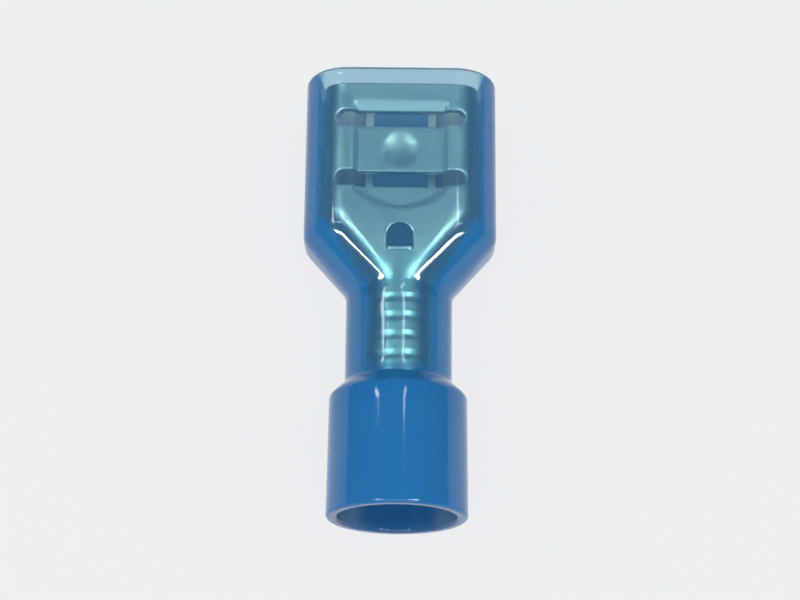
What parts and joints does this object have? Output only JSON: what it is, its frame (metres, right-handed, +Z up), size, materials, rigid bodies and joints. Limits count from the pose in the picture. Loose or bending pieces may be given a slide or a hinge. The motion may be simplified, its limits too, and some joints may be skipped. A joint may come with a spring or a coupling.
{
  "type": "female spade terminal",
  "caption": "Fully insulated female spade terminal: tinned rolled receptacle and crimp barrel inside a translucent blue nylon housing.",
  "frame": {"origin": "on the ground under the middle of the part, which lies on its side with the receptacle's flat back up", "axes": "+Y along the part, out of the mouth that takes the tab; +Z up, out of the receptacle's flat back; +X across the receptacle"},
  "size_m": [0.0094, 0.0222, 0.0067],
  "materials": {
    "nylon": "translucent blue nylon, satin to gloss",
    "tinned_brass": "bright tin plate over rolled brass strip"
  },
  "bodies": {
    "root": {"housing": "nylon", "terminal": "tinned_brass"}
  },
  "joints": []
}
